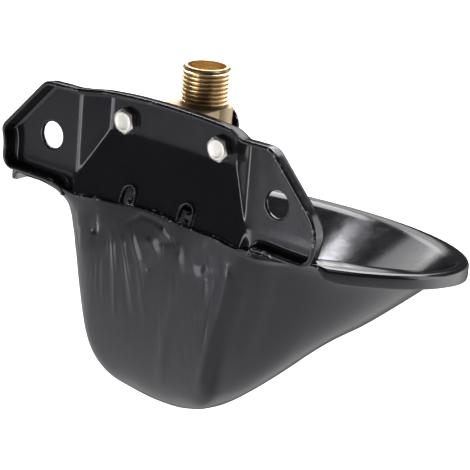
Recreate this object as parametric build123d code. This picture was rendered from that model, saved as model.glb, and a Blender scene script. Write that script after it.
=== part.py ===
from build123d import *
import os
import math
import numpy as np

# ---------------------------------------------------------------------------
# Livestock drinking bowl, wall hung, with a push-tongue valve.
# Millimetres.  +Z up, +Y towards the wall, the animal drinks from the -Y side.
# Origin: midway between the two wing fixing holes, on the rear face of the
# wings of the back plate.
# ---------------------------------------------------------------------------

# ---- mounting plate -------------------------------------------------------
SHEET = 2.0              # pressed steel sheet of the back plate
HOLE_X = 61.4            # half spacing of the two wing holes
HOLE_R = 5.75
CREASE_X = 45.9          # where the wing turns into the recess
STRIP_X = 34.0           # half width of the recessed strip
STRIP_Y = -7.0           # rear face of the strip that carries the valve bolts
STRIP_Z = 8.7            # lower boundary of the strip
PANEL_K = 7.0 / 22.2     # slope of the panel below the strip, dY per -dZ
FLANGE_W = 6.5           # how far the turned edge stands towards the wall
SLOT_X = 15.7            # guide slots of the tongue
SLOT_W = 6.4
SLOT_TOP = -11.5

# ---- bowl -----------------------------------------------------------------
BOWL_T = 2.0             # sheet thickness of the bowl
RIM_Z0, RIM_K = -20.0, 0.19   # rim plane  z = RIM_Z0 + RIM_K * y
BEAD_W, BEAD_H = 6.0, 6.0     # rolled rim

# ---- valve ----------------------------------------------------------------
VX_Y = -25.1             # inlet axis
BOLT_X, BOLT_Z = 25.5, 13.7
THREAD_R = 20.955 / 2    # G1/2 pipe thread
THREAD_ROOT = 18.631 / 2
THREAD_P = 1.814
THREAD_TOP = 40.3
SHOULDER_Z = 24.0
BORE_R = 8.2
BODY_R = 12.0
BODY_HALF = 11.4
BODY_REAR = -14.3
BODY_FRONT = -34.0
BODY_BOTTOM = -6.0
REG_Z = 13.3             # axis of the flow regulator
REG_R = 6.0
KNOB_R = 10.6
KNOB_D = 6.6
STEM_R = 1.5
RUN = 0.05               # running clearance

# ---- tongue ---------------------------------------------------------------
PIVOT_Y, PIVOT_Z = -39.0, -5.0
PIN_R = 2.0
TONGUE_T = 2.0
CHEEK_X0, CHEEK_X1 = 14.7, 16.7

os.makedirs("parts", exist_ok=True)


def save(shape, name, label=None):
    export_step(shape, "parts/" + name + ".step")


def solids_of(shape):
    return shape.solids()


def prism_xz(pts, y0, y1):
    """Closed polygon of (x, z) points, extruded from y0 to y1."""
    f = make_face(Polyline(*[(p[0], y0, p[1]) for p in pts], close=True))
    return Solid.extrude(f.face() if hasattr(f, "face") else f, Vector(0, y1 - y0, 0))


def prism_yz(pts, x0, x1):
    f = make_face(Polyline(*[(x0, p[0], p[1]) for p in pts], close=True))
    return Solid.extrude(f.face() if hasattr(f, "face") else f, Vector(x1 - x0, 0, 0))


def prism_xy(pts, z0, z1):
    f = make_face(Polyline(*[(p[0], p[1], z0) for p in pts], close=True))
    return Solid.extrude(f.face() if hasattr(f, "face") else f, Vector(0, 0, z1 - z0))


def cyl_z(x, y, r, z0, z1):
    return Pos(x, y, z0) * Cylinder(r, z1 - z0, align=(Align.CENTER, Align.CENTER, Align.MIN))


def cyl_y(x, z, r, y0, y1):
    """Cylinder along Y, y0 < y1."""
    return Pos(x, y1, z) * Rot(90, 0, 0) * Cylinder(r, y1 - y0, align=(Align.CENTER, Align.CENTER, Align.MIN))


def cyl_x(y, z, r, x0, x1):
    return Pos(x0, y, z) * Rot(0, 90, 0) * Cylinder(r, x1 - x0, align=(Align.CENTER, Align.CENTER, Align.MIN))


def hexagon_pts(af, turn=0.0):
    r = af / math.sqrt(3)
    return [(r * math.cos(math.radians(60 * i + turn)), r * math.sin(math.radians(60 * i + turn))) for i in range(6)]


# ---------------------------------------------------------------------------
# Bowl surface: quintic meridians from the rim ring to the lowest point.
# ---------------------------------------------------------------------------
KNOT = np.radians([0, 25, 45, 65, 82, 100, 120, 140, 160, 180])
RINGS = [
    ([0, 32, 58, 80, 92.5, 98.3, 95.5, 82, 48, 0], [4.0, 4.2, 4.4, 0.5, -22, -46, -72, -106, -138, -151], -20.0, 0.19),
    ([0, 24, 38, 46, 66.0, 83.2, 88.5, 76.5, 43.0, 0], [4.4, 4.2, 2.5, -8.5, -33, -57, -82, -108.5, -134.5, -145.5], -23.5, 0.19),
    ([0, 27.3, 42.6, 50.2, 60.7, 73.3, 78.4, 65.9, 35.9, 0], [5.3, 4.8, 2.7, -7.0, -27.1, -48.2, -70.6, -94.2, -116.0, -125.8], -43.8, 0.152),
    ([0, 27.5, 42.8, 47.6, 50.1, 49.5, 44.3, 37.6, 19.5, 0], [6.9, 7.2, 5.8, -4.4, -22.1, -42.5, -60.9, -77.5, -91.4, -97.3], -86.5, -0.106),
    ([0, 21.3, 35.0, 40.0, 40.2, 33.2, 25.3, 18.4, 9.7, 0], [-2.2, -2.3, -3.4, -10.2, -20.2, -30.6, -40.6, -50.5, -57.2, -59.5], -107.0, 0.0),
]
LOWEST = np.array([0.0, -15.8, -107.0])


def periodic_cubic(kx, ky, t):
    """Periodic cubic spline through (kx, ky); kx ends differ by the period."""
    n = len(kx) - 1
    h = np.diff(kx)
    A = np.zeros((n, n))
    r = np.zeros(n)
    for i in range(n):
        hm, hi = h[i - 1], h[i]
        A[i, (i - 1) % n] += hm
        A[i, i] += 2 * (hm + hi)
        A[i, (i + 1) % n] += hi
        r[i] = 6 * ((ky[(i + 1) % n] - ky[i]) / hi - (ky[i] - ky[i - 1 if i else n - 1]) / hm)
    M = np.linalg.solve(A, r)
    M = np.append(M, M[0])
    y = np.append(ky[:n], ky[0])
    t = np.asarray(t)
    j = np.clip(np.searchsorted(kx, t, side="right") - 1, 0, n - 1)
    hh = h[j]
    a = (kx[j + 1] - t) / hh
    b = (t - kx[j]) / hh
    return a * y[j] + b * y[j + 1] + ((a**3 - a) * M[j] + (b**3 - b) * M[j + 1]) * hh**2 / 6


def ring_points(ring, th):
    xs, ys, zc, k = ring
    kx = np.concatenate([-KNOT[::-1][:-1], KNOT])
    X = np.concatenate([-np.array(xs)[::-1][:-1], xs])
    Y = np.concatenate([np.array(ys)[::-1][:-1], ys])
    X[0] = 0.0
    X[-1] = 0.0
    x = periodic_cubic(kx, X, th)
    y = periodic_cubic(kx, Y, th)
    return np.stack([x, y, zc + k * y], 1)


def bowl_grid(nt, nu):
    th = np.linspace(-np.pi, np.pi, nt, endpoint=False)
    R = np.stack([ring_points(r, th) for r in RINGS] + [np.tile(LOWEST, (nt, 1))])
    u = np.linspace(0, 1, nu)
    W = np.stack([math.comb(5, j) * (1 - u) ** (5 - j) * u**j for j in range(6)], 1)
    P = np.einsum("uj,jtc->utc", W, R)
    du = np.gradient(P, axis=0)
    dt = (np.roll(P, -1, axis=1) - np.roll(P, 1, axis=1))
    N = np.cross(dt, du)
    N[-1] = [0, 0, -1]
    L = np.linalg.norm(N, axis=2, keepdims=True)
    N = N / np.maximum(L, 1e-9)
    # outward: away from the bowl axis at mid height
    c = np.array([0.0, -50.0, -40.0])
    if np.sum(N[nu // 3] * (P[nu // 3] - c)) < 0:
        N[:-1] = -N[:-1]
    return P, N


def slice_grid(P, zc, k):
    """One closed planar section of the grid by the plane z = zc + k*y."""
    out = []
    for i in range(P.shape[1]):
        f = P[:, i, 2] - (zc + k * P[:, i, 1])
        j = int(np.argmax(f < 0))
        if j == 0:
            j = 1 if f[0] < 0 else len(f) - 1
        a = f[j - 1] / (f[j - 1] - f[j]) if f[j - 1] != f[j] else 0.0
        out.append(P[j - 1, i] * (1 - a) + P[j, i] * a)
    return np.array(out)


def loft_sections(sections):
    wires = []
    for s in sections:
        e = Edge.make_spline([Vector(*p) for p in s], periodic=True)
        wires.append(Wire([e]))
    return Solid.make_loft(wires, ruled=False)


LEVELS = [(0.0, 1.0), (-4.0, 1.0), (-8.0, 0.97), (-14.0, 0.92), (-25.0, 0.8), (-40.0, 0.6), (-56.0, 0.4),
          (-70.0, 0.22), (-79.0, 0.1), (-84.5, 0.03), (-86.6, 0.0)]


def offset_closed(pts, d):
    """Points of a closed curve moved outward by d in plan."""
    c = np.roll(pts, -1, axis=0) - np.roll(pts, 1, axis=0)
    n = np.stack([-c[:, 1], c[:, 0]], 1)
    n /= np.linalg.norm(n, axis=1, keepdims=True)
    if np.mean(np.sum(n * (pts[:, :2] - np.array([0, -60.0])), axis=1)) < 0:
        n = -n
    return pts[:, :2] + d * n


def rim_section(d, dz, nt=60):
    """Rim curve moved outward by d, dz above the rim plane."""
    R = ring_points(RINGS[0], np.linspace(-np.pi, np.pi, nt, endpoint=False))
    xy = offset_closed(R, d)
    return np.stack([xy[:, 0], xy[:, 1], RIM_Z0 + RIM_K * xy[:, 1] + dz], 1)


def build_bowl():
    P, N = bowl_grid(36, 240)
    wall = loft_sections([slice_grid(P, RIM_Z0 + d, RIM_K * f) for d, f in [(-0.4, 1.0)] + LEVELS[1:]])
    # rolled rim: a rounded band standing outside the wall
    bead = loft_sections([rim_section(BEAD_W / 2, -BEAD_H), rim_section(BEAD_W / 2, 0.0)])
    top_edges = [e for e in bead.edges() if e.length > 100 and abs((e @ 0.5).Z - RIM_Z0 - RIM_K * (e @ 0.5).Y) < 0.05]
    bead = bead.fillet(2.6, top_edges)
    bead = bead - prism_xy([(-130, -2.4), (130, -2.4), (130, 40), (-130, 40)], -80, 40)
    Q = P - BOWL_T * N
    mouth = rim_section(-BEAD_W / 2 + 0.4, 0.0, 36)
    above = mouth.copy()
    above[:, 2] += 4.0
    inner = loft_sections([above, mouth] + [slice_grid(Q, RIM_Z0 + d * 0.975, RIM_K * f) for d, f in LEVELS[2:]])
    outer = wall + bead
    return outer - inner


def main():
    # ---------------- bowl shell
    shell = build_bowl()
    # the rear of the rim is open between the wings: the bowl wall ends on the plate
    cut_top = prism_xz([(-120, 60), (120, 60), (120, -21.3), (52, -21.3), (30, -20.4), (0, -18.4), (-30, -20.4), (-52, -21.3), (-120, -21.3)], -2.2, 30)
    shell = shell - cut_top
    shell = sorted(solids_of(shell), key=lambda s: s.volume)[-1]
    save(shell, "bowl_shell")
    print("bowl", shell.volume, shell.is_valid)

    # ---------------- back plate
    outline = [(0, 26.6), (20, 26.2), (34, 25.3), (46, 24.6), (59.0, 24.2), (62.0, 22.6), (82.2, -0.4), (83.6, -3.2),
               (83.4, -16.0), (81.0, -19.3), (52, -19.3)]
    right = [(-x, z) for x, z in outline[::-1] if x != 0]
    loop = outline + [(50, -26), (-50, -26)] + right
    g = 3.0 / 16.0

    def region(off):
        """Space on the wall side of the panel surface moved back by off."""
        t = off
        zhi, zlo = 40, -40
        f_pts = [(-120, -t), (-CREASE_X - 0.27 * t, -t), (-STRIP_X - 0.27 * t, STRIP_Y - t),
                 (STRIP_X + 0.27 * t, STRIP_Y - t), (CREASE_X + 0.27 * t, -t), (120, -t), (120, 40), (-120, 40)]
        A = prism_xy(f_pts, zlo, zhi)
        s = t * math.hypot(1, PANEL_K)
        zt = STRIP_Z + 0.15 * t
        g_pts = [(STRIP_Y - t, zhi), (STRIP_Y - t, zt), (STRIP_Y - t + (zt + 40) * PANEL_K, -40), (40, -40), (40, zhi)]
        B = prism_yz(g_pts, -CREASE_X - 0.27 * t, CREASE_X + 0.27 * t)
        wl = prism_xy([(CREASE_X + 0.27 * t - 0.001, -t), (120, -t), (120, 40), (CREASE_X + 0.27 * t - 0.001, 40)], zlo, zhi)
        wr = prism_xy([(-CREASE_X - 0.27 * t + 0.001, -t), (-120, -t), (-120, 40), (-CREASE_X - 0.27 * t + 0.001, 40)], zlo, zhi)
        mid = A & B
        return mid, wl, wr

    taper = 7.0
    base = make_face(Polyline(*[(x, -12.0, z) for x, z in loop], close=True))
    # widen the outline towards the wall
    def grown(pts, d):
        c = np.array(pts, float)
        n = len(c)
        out = []
        area = 0.5 * np.sum(c[:, 0] * np.roll(c[:, 1], -1) - np.roll(c[:, 0], -1) * c[:, 1])
        sg = 1 if area > 0 else -1
        for i in range(n):
            p0, p1, p2 = c[i - 1], c[i], c[(i + 1) % n]
            e1 = (p1 - p0) / np.linalg.norm(p1 - p0)
            e2 = (p2 - p1) / np.linalg.norm(p2 - p1)
            n1 = sg * np.array([e1[1], -e1[0]])
            n2 = sg * np.array([e2[1], -e2[0]])
            b = n1 + n2
            b = b / np.dot(b, n1)
            out.append(tuple(p1 + d * b))
        return out

    def tray(off):
        f0 = [(x, z) for x, z in grown(loop, -off - 1.2)]
        f1 = [(x, z) for x, z in grown(loop, -off + 0.9)]
        w0 = Wire.make_polygon([Vector(x, -12.0, z) for x, z in f0], close=True)
        w1 = Wire.make_polygon([Vector(x, 7.5, z) for x, z in f1], close=True)
        return Solid.make_loft([w0, w1], ruled=True)

    To, Ti = tray(0.0), tray(SHEET)

    def clip(T, off):
        mid, wl, wr = region(off)
        parts = []
        r = T & mid
        parts += list(solids_of(r))
        for w in (wl, wr):
            parts += list(solids_of(T & w))
        s = parts[0]
        for q in parts[1:]:
            s = s + q
        return s

    So, Si = clip(To, SHEET), clip(Ti, 0.0)
    plate = So - Si
    # rim of the turned edge follows the recess at constant width
    rim_pts = [(-120, FLANGE_W), (-50, FLANGE_W), (-44, 5.2), (-36, 0.6), (-31, STRIP_Y + FLANGE_W),
               (31, STRIP_Y + FLANGE_W), (36, 0.6), (44, 5.2), (50, FLANGE_W), (120, FLANGE_W), (120, 60), (-120, 60)]
    top_trim = prism_xy(rim_pts, -19.0, 60)
    plate = plate - top_trim
    low_trim = prism_xz([(-120, -60), (120, -60), (120, 0), (120, -19.0), (-120, -19.0)], FLANGE_W, 60)
    plate = plate - low_trim
    # lower edge of the panel, behind the lip of the bowl
    edge_pts = [(-51.5, -60), (51.5, -60), (51.5, -23.6), (40, -23.0), (30, -22.4), (15, -21.4), (0, -20.8), (-15, -21.4),
                (-30, -22.4), (-40, -23.0), (-51.5, -23.6)]
    plate = plate - prism_xz(edge_pts, -30, 30)
    for sx in (-1, 1):
        plate = plate - cyl_y(sx * HOLE_X, 0, HOLE_R, -10, 10)
        plate = plate - cyl_y(sx * BOLT_X, BOLT_Z, 3.3, -20, 0)
        slot = cyl_y(sx * SLOT_X, SLOT_TOP - SLOT_W / 2, SLOT_W / 2, -12, 12)
        slot = slot + Pos(sx * SLOT_X, 0, SLOT_TOP - SLOT_W / 2) * Box(SLOT_W, 24, 14, align=(Align.CENTER, Align.CENTER, Align.MAX))
        plate = plate - slot
    ps = sorted(solids_of(plate), key=lambda s: s.volume)
    print("plate solids", [round(s.volume) for s in ps])
    plate = ps[-1]
    save(plate, "back_plate")
    print("plate", plate.volume, plate.is_valid, plate.bounding_box())

    # ---------------- weld bead along the seam of plate and bowl
    wpts = [(-50, 6.0, -21.6), (-38, 6.0, -20.9), (-24, 6.0, -20.1), (-10, 6.0, -19.8), (10, 6.0, -19.8), (24, 6.0, -20.1),
            (38, 6.0, -20.9), (50, 6.0, -21.6)]
    weld = None
    for (x0, _, z0), (x1, _, z1) in zip(wpts[:-1], wpts[1:]):
        y0 = STRIP_Y + (STRIP_Z - z0) * PANEL_K + 0.5
        y1 = STRIP_Y + (STRIP_Z - z1) * PANEL_K + 0.5
        p0, p1 = Vector(x0, y0, z0 + 0.7), Vector(x1, y1, z1 + 0.7)
        d = p1 - p0
        seg = Solid.make_cylinder(0.8, d.length, Plane(origin=p0, z_dir=d))
        ball = Pos(p1.X, p1.Y, p1.Z) * Sphere(0.8)
        weld = seg if weld is None else weld + seg
        if x1 < 49:
            weld = weld + ball
    ws = sorted(solids_of(weld), key=lambda q: q.volume)
    save(ws[-1], "seam_weld")

    # ---------------- valve body
    col = cyl_z(0, VX_Y, BODY_R, BODY_BOTTOM, SHOULDER_Z)
    col = col + prism_xy([(-BODY_HALF, VX_Y), (BODY_HALF, VX_Y), (BODY_HALF, BODY_REAR), (-BODY_HALF, BODY_REAR)], BODY_BOTTOM, SHOULDER_Z)
    col = col - prism_xy([(-20, BODY_FRONT), (20, BODY_FRONT), (20, -60), (-20, -60)], -20, 40)
    col = col + cyl_y(0, REG_Z, 8.0, BODY_FRONT - 1.5, BODY_FRONT + 1)
    # flange with two tapped ears
    ear = prism_xz([(-BOLT_X, BOLT_Z - 7.5), (BOLT_X, BOLT_Z - 7.5), (BOLT_X, BOLT_Z + 7.5), (-BOLT_X, BOLT_Z + 7.5)], -14.6, -10.0)
    for sx in (-1, 1):
        ear = ear + cyl_y(sx * BOLT_X, BOLT_Z, 7.5, -14.6, -10.0)
    body = col + ear
    body = body + prism_xz([(-BODY_HALF, BODY_BOTTOM), (BODY_HALF, BODY_BOTTOM), (BODY_HALF, SHOULDER_Z), (-BODY_HALF, SHOULDER_Z)], BODY_REAR - 1.0, -10.0 - 0.0)
    # pivot lug of the tongue
    lug = cyl_x(PIVOT_Y, PIVOT_Z, 5.0, -9.0, 9.0) + prism_yz([(PIVOT_Y, BODY_BOTTOM + 0.1), (BODY_FRONT + 3, BODY_BOTTOM + 0.1), (BODY_FRONT + 3, 0.0), (PIVOT_Y, 0.0)], -9.0, 9.0)
    body = body + lug
    # inlet spigot with the pipe thread, turned about the inlet axis
    prof = [(0, SHOULDER_Z - 2), (9.6, SHOULDER_Z - 2), (9.6, SHOULDER_Z + 0.6)]
    z = SHOULDER_Z + 0.9
    n = 8
    top = THREAD_TOP - 1.0
    z0 = top - n * THREAD_P
    prof.append((THREAD_ROOT, z0 - 0.2))
    for i in range(n):
        zc = z0 + i * THREAD_P
        prof += [(THREAD_ROOT, zc + 0.12), (THREAD_R, zc + 0.76), (THREAD_R, zc + 1.05), (THREAD_ROOT, zc + 1.69)]
    prof += [(THREAD_R - 0.5, top + 0.25), (THREAD_R - 1.0, THREAD_TOP), (0, THREAD_TOP)]
    f = make_face(Polyline(*[(r, VX_Y, zz) for r, zz in prof], close=True))
    f = f.face() if hasattr(f, "face") else f
    spig = Solid.revolve(f, 360, Axis((0, VX_Y, 0), (0, 0, 1)))
    body = body + spig
    # bores
    body = body - cyl_z(0, VX_Y, BORE_R, 27.0, THREAD_TOP + 1)
    body = body - cyl_z(0, VX_Y, 7.9, 26.0, 27.5)
    body = body - cyl_z(0, VX_Y, 6.4, 21.0, 26.5)
    body = body - cyl_z(0, VX_Y, 3.6, 4.0, 22.0)
    body = body - cyl_z(0, VX_Y, 7.0, BODY_BOTTOM - 1, 6.0)
    body = body - cyl_y(0, REG_Z, REG_R, BODY_FRONT - 2, -19.0)
    body = body - cyl_y(0, REG_Z, 6.5, -33.6, -32.6)
    for sx in (-1, 1):
        body = body - cyl_y(sx * BOLT_X, BOLT_Z, 3.05, -20, -9)
    body = body - cyl_x(PIVOT_Y, PIVOT_Z, PIN_R + RUN, -12, 12)
    bs = sorted(solids_of(body), key=lambda q: q.volume)
    print("valve body", [round(q.volume) for q in bs], bs[-1].is_valid)
    save(bs[-1], "valve_body")

    # ---------------- gasket and bolts
    gas = prism_xz([(-BOLT_X, BOLT_Z - 7.5), (BOLT_X, BOLT_Z - 7.5), (BOLT_X, BOLT_Z + 7.5), (-BOLT_X, BOLT_Z + 7.5)], -10.0, -9.0)
    for sx in (-1, 1):
        gas = gas + cyl_y(sx * BOLT_X, BOLT_Z, 7.5, -10.0, -9.0)
    for sx in (-1, 1):
        gas = gas - cyl_y(sx * BOLT_X, BOLT_Z, 3.3, -11, -8)
    save(gas, "flange_gasket")
    bolts = []
    for sx, turn in ((-1, 12.0), (1, 20.0)):
        hp = [(sx * BOLT_X + p[0], BOLT_Z + p[1]) for p in hexagon_pts(10.0, turn)]
        head = prism_xz(hp, STRIP_Y, STRIP_Y + 4.0)
        cone = Pos(sx * BOLT_X, STRIP_Y, BOLT_Z) * Rot(-90, 0, 0) * Cone(5.0 + 4.0 * 0.9, 5.0 - 0.1, 4.0, align=(Align.CENTER, Align.CENTER, Align.MIN))
        cone2 = Pos(sx * BOLT_X, STRIP_Y, BOLT_Z) * Rot(-90, 0, 0) * Cone(5.0 + 4.0 * 1.0, 5.0 - 0.1, 4.0, align=(Align.CENTER, Align.CENTER, Align.MIN))
        head = head & (Pos(sx * BOLT_X, STRIP_Y, BOLT_Z) * Rot(-90, 0, 0) * Cone(4.8 + 4.0 * 1.7, 4.8, 4.0, align=(Align.CENTER, Align.CENTER, Align.MIN)))
        shank = cyl_y(sx * BOLT_X, BOLT_Z, 3.0, STRIP_Y - 12.0, STRIP_Y + 0.5)
        bolt = head + shank
        bolts.append(sorted(solids_of(bolt), key=lambda q: q.volume)[-1])
    save(Compound(bolts), "flange_bolts")

    # ---------------- strainer
    st = cyl_z(0, VX_Y, 7.8, 26.0, 26.85) + cyl_z(0, VX_Y, 6.0, 21.5, 26.5)
    st = st - cyl_z(0, VX_Y, 5.3, 22.3, 28.0)
    for i in range(7):
        a = math.radians(60 * i)
        rr = 3.2 if i < 6 else 0.0
        st = st - cyl_z(rr * math.cos(a), VX_Y + rr * math.sin(a), 1.0, 20, 24)
    save(st, "inlet_strainer")

    # ---------------- flow regulator: quarter-turn plug with a knob
    sp = cyl_y(0, REG_Z, REG_R - RUN, -32.5, -19.3) + cyl_y(0, REG_Z, 3.0, -40.5, -32.0)
    sp = sp - cyl_z(0, VX_Y, 3.4, 0, 30)
    groove = cyl_y(0, REG_Z, 8.0, -31.4, -29.8) - cyl_y(0, REG_Z, 5.05, -31.5, -29.7)
    sp = sp - groove
    sp = sp - cyl_y(0, REG_Z, 1.25, -42, -34.8)
    save(sorted(solids_of(sp), key=lambda q: q.volume)[-1], "regulator_spindle")
    oring = Pos(0, -30.6, REG_Z) * Rot(90, 0, 0) * Torus(5.46, 0.42)
    save(oring, "regulator_oring")
    clip = cyl_y(0, REG_Z, 6.45, -33.5, -32.7) - cyl_y(0, REG_Z, 3.4, -34, -32)
    clip = clip - prism_xz([(-1.6, REG_Z - 2), (1.6, REG_Z - 2), (2.2, REG_Z - 9), (-2.2, REG_Z - 9)], -34, -32)
    save(clip, "spindle_circlip")
    kr = (KNOB_R**2 + KNOB_D**2) / (2 * KNOB_D)
    y_base = BODY_FRONT - 1.9
    dome = Pos(0, y_base - KNOB_D + kr, REG_Z) * Sphere(kr)
    dome = dome & cyl_y(0, REG_Z, KNOB_R, y_base - KNOB_D - 1, y_base)
    dome = dome - cyl_y(0, REG_Z, 3.02, y_base - 4.7, y_base + 1)
    dome = dome - cyl_y(0, REG_Z, 1.6, y_base - 12, y_base + 1)
    for i in range(18):
        a = math.radians(20 * i + 10)
        dome = dome - cyl_y(11.1 * math.cos(a), REG_Z + 11.1 * math.sin(a), 1.1, y_base - 12, y_base + 1)
    dome = dome - cyl_y(0, REG_Z, 2.75, y_base - 12, y_base - KNOB_D + 0.25)
    ds = sorted(solids_of(dome), key=lambda q: q.volume)
    save(ds[-1], "regulator_knob")
    ks = cyl_y(0, REG_Z, 1.2, y_base - KNOB_D + 0.2, -35.2) + (Pos(0, y_base - KNOB_D + 0.25, REG_Z) * Rot(90, 0, 0) * Cylinder(2.7, 1.5, align=(Align.CENTER, Align.CENTER, Align.MIN)))
    ks = ks - Pos(0, y_base - KNOB_D - 1.25, REG_Z) * Box(6, 1.2, 0.7)
    save(sorted(solids_of(ks), key=lambda q: q.volume)[-1], "knob_screw")

    # ---------------- shut-off: seat, stem, washer, spring, outlet gland
    gland = cyl_z(0, VX_Y, 6.92, -6.2, -5.0)
    gp = [(p[0], VX_Y + p[1]) for p in hexagon_pts(16.0, 0.0)]
    gland = cyl_z(0, VX_Y, 6.92, -9.0, -4.6) + prism_xy(gp, -11.5, -7.0)
    gland = gland - cyl_z(0, VX_Y, 2.7, -12, -4)
    save(gland, "outlet_gland")
    gasket = cyl_z(0, VX_Y, 8.0, -7.0, -6.0) - cyl_z(0, VX_Y, 7.1, -8.0, -5.0)
    save(gasket, "gland_gasket")
    seat = cyl_z(0, VX_Y, 6.9, -4.6, -3.4) + cyl_z(0, VX_Y, 3.6, -3.6, -3.05)
    seat = seat - cyl_z(0, VX_Y, 2.7, -5, -2)
    save(seat, "valve_seat")
    stem = cyl_z(0, VX_Y, STEM_R, -15.95, -0.6) + Pos(0, VX_Y, -15.95) * Sphere(STEM_R) + cyl_z(0, VX_Y, 4.5, -1.0, 0.6)
    save(sorted(solids_of(stem), key=lambda q: q.volume)[-1], "valve_stem")
    wash = cyl_z(0, VX_Y, 5.0, -3.0, -1.0) - cyl_z(0, VX_Y, STEM_R, -4, 0)
    save(wash, "valve_washer")
    # return spring between the stem head and the roof of the chamber
    turns, zb, zt, rw, rm = 3.5, 0.6, 5.9, 0.45, 4.2
    hx = Edge.make_helix((zt - zb - 2 * rw) / turns, zt - zb - 2 * rw, rm)
    hx = Pos(0, VX_Y, zb + rw) * hx
    try:
        start = hx @ 0
        tan = hx % 0
        c = Wire([Edge.make_circle(rw, Plane(origin=start, z_dir=tan))])
        spring = Solid.sweep(Face(c), Wire([hx])) if hasattr(Face, "wrap_faces") else sweep(Face(c), path=Wire([hx]))
        print("spring", spring.volume, math.pi * rw**2 * hx.length)
    except Exception as ex:
        print("helix sweep failed", ex)
        spring = None
        for i in range(4):
            t = Pos(0, VX_Y, zb + rw + i * (zt - zb - 2 * rw) / 3) * Torus(rm, rw)
            spring = t if spring is None else spring + t
    save(spring, "return_spring")

    # ---------------- tongue
    path = [(-13.0, -17.7), (-33.5, -17.7), (-50.0, -38.0), (-68.0, -56.0), (-86.0, -65.5), (-93.0, -65.0)]
    t = TONGUE_T
    def offset_path(pts, d):
        out = []
        n = len(pts)
        for i in range(n):
            p = np.array(pts[i], float)
            if i == 0:
                e = np.array(pts[1], float) - p
            elif i == n - 1:
                e = p - np.array(pts[i - 1], float)
            else:
                e0 = p - np.array(pts[i - 1], float)
                e1 = np.array(pts[i + 1], float) - p
                e = e0 / np.linalg.norm(e0) + e1 / np.linalg.norm(e1)
            e = e / np.linalg.norm(e)
            nrm = np.array([-e[1], e[0]])
            if 0 < i < n - 1:
                e0 = (p - np.array(pts[i - 1], float))
                e0 /= np.linalg.norm(e0)
                nn = np.array([-e0[1], e0[0]])
                nrm = nrm / np.dot(nrm, nn)
            out.append(tuple(p + d * nrm))
        return out
    under = offset_path(path, t)       # path runs towards -Y, so +normal is below
    poly = path + under[::-1]
    plate_t = prism_yz(poly, -27, 27)
    # plan outline, widening to the spoon
    half = [(CHEEK_X1, -5), (CHEEK_X1, -58), (19.5, -66), (23.5, -74), (24.5, -81), (22.0, -88), (16.0, -92.2), (8.0, -94.4), (0, -95)]
    outline_t = half + [(-x, y) for x, y in half[::-1] if x != 0]
    plate_t = plate_t & prism_xy(outline_t, -90, 0)
    cheeks = []
    for x0 in (CHEEK_X0, -CHEEK_X1):
        u = offset_path(path, t)
        cp = [(0.2, -16.1), (-2.6, -15.3), (-6.0, -13.9), (-14.0, -11.0), (-28.0, -8.0), (-33.6, -3.6)]
        arc = [(PIVOT_Y + 5.5 * math.cos(math.radians(a)), PIVOT_Z + 5.5 * math.sin(math.radians(a))) for a in range(60, 221, 20)]
        down = [(-50.5, -24.5), (-60.0, -38.5), (-69.5, -50.2), (-76.0, -58.8)]
        bot = [(u[3][0] - 6.0, u[3][1] - 3.2 + 0.3), u[3], u[2], u[1], (-13.0, -19.7), (0.2, -19.3)]
        cheeks.append(prism_yz(cp + arc + down + bot, x0, x0 + 2.0))
    tongue = plate_t
    for c in cheeks:
        tongue = tongue + c
    tongue = tongue - cyl_x(PIVOT_Y, PIVOT_Z, PIN_R + RUN, -20, 20)
    ts = sorted(solids_of(tongue), key=lambda q: q.volume)
    print("tongue", [round(q.volume) for q in ts], ts[-1].is_valid)
    save(ts[-1], "tongue")

    # ---------------- hinge pin, washers and clips
    pin = cyl_x(PIVOT_Y, PIVOT_Z, PIN_R, -20.0, 20.0)
    for sx in (-1, 1):
        g = cyl_x(PIVOT_Y, PIVOT_Z, 3.0, min(sx * 18.2, sx * 19.0), max(sx * 18.2, sx * 19.0)) - cyl_x(PIVOT_Y, PIVOT_Z, 1.55, -22, 22)
        pin = pin - g
    save(sorted(solids_of(pin), key=lambda q: q.volume)[-1], "hinge_pin")
    washers, clips = [], []
    for sx in (-1, 1):
        a, b = sorted((sx * 17.0, sx * 18.0))
        washers.append((cyl_x(PIVOT_Y, PIVOT_Z, 4.5, a, b) - cyl_x(PIVOT_Y, PIVOT_Z, PIN_R + 0.1, a - 1, b + 1)).solid())
        a, b = sorted((sx * 18.25, sx * 18.95))
        c = cyl_x(PIVOT_Y, PIVOT_Z, 3.8, a, b) - cyl_x(PIVOT_Y, PIVOT_Z, 1.6, a - 1, b + 1)
        c = c - Pos((a + b) / 2, PIVOT_Y, PIVOT_Z - 3) * Box(2, 2.6, 6)
        clips.append(sorted(solids_of(c), key=lambda q: q.volume)[-1])
    save(Compound(washers), "pin_washers")
    save(Compound(clips), "pin_clips")


main()
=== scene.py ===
import bpy
import bmesh
import math
import numpy as np
from mathutils import Matrix, Vector
from mathutils.geometry import delaunay_2d_cdt


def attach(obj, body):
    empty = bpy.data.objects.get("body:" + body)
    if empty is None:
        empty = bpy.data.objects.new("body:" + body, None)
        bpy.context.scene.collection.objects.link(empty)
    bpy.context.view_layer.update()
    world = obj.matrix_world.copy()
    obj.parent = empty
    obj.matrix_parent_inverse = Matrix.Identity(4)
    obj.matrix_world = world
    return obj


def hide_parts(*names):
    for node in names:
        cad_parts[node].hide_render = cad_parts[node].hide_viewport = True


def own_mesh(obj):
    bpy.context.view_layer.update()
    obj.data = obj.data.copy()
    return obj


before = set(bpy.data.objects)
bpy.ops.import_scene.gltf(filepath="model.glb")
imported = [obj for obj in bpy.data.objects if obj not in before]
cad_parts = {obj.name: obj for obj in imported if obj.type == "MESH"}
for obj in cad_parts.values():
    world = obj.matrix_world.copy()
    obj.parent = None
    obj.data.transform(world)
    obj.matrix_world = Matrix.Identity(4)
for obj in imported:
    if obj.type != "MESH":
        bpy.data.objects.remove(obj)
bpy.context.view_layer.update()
BODY = "bowl_and_valve"
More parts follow.
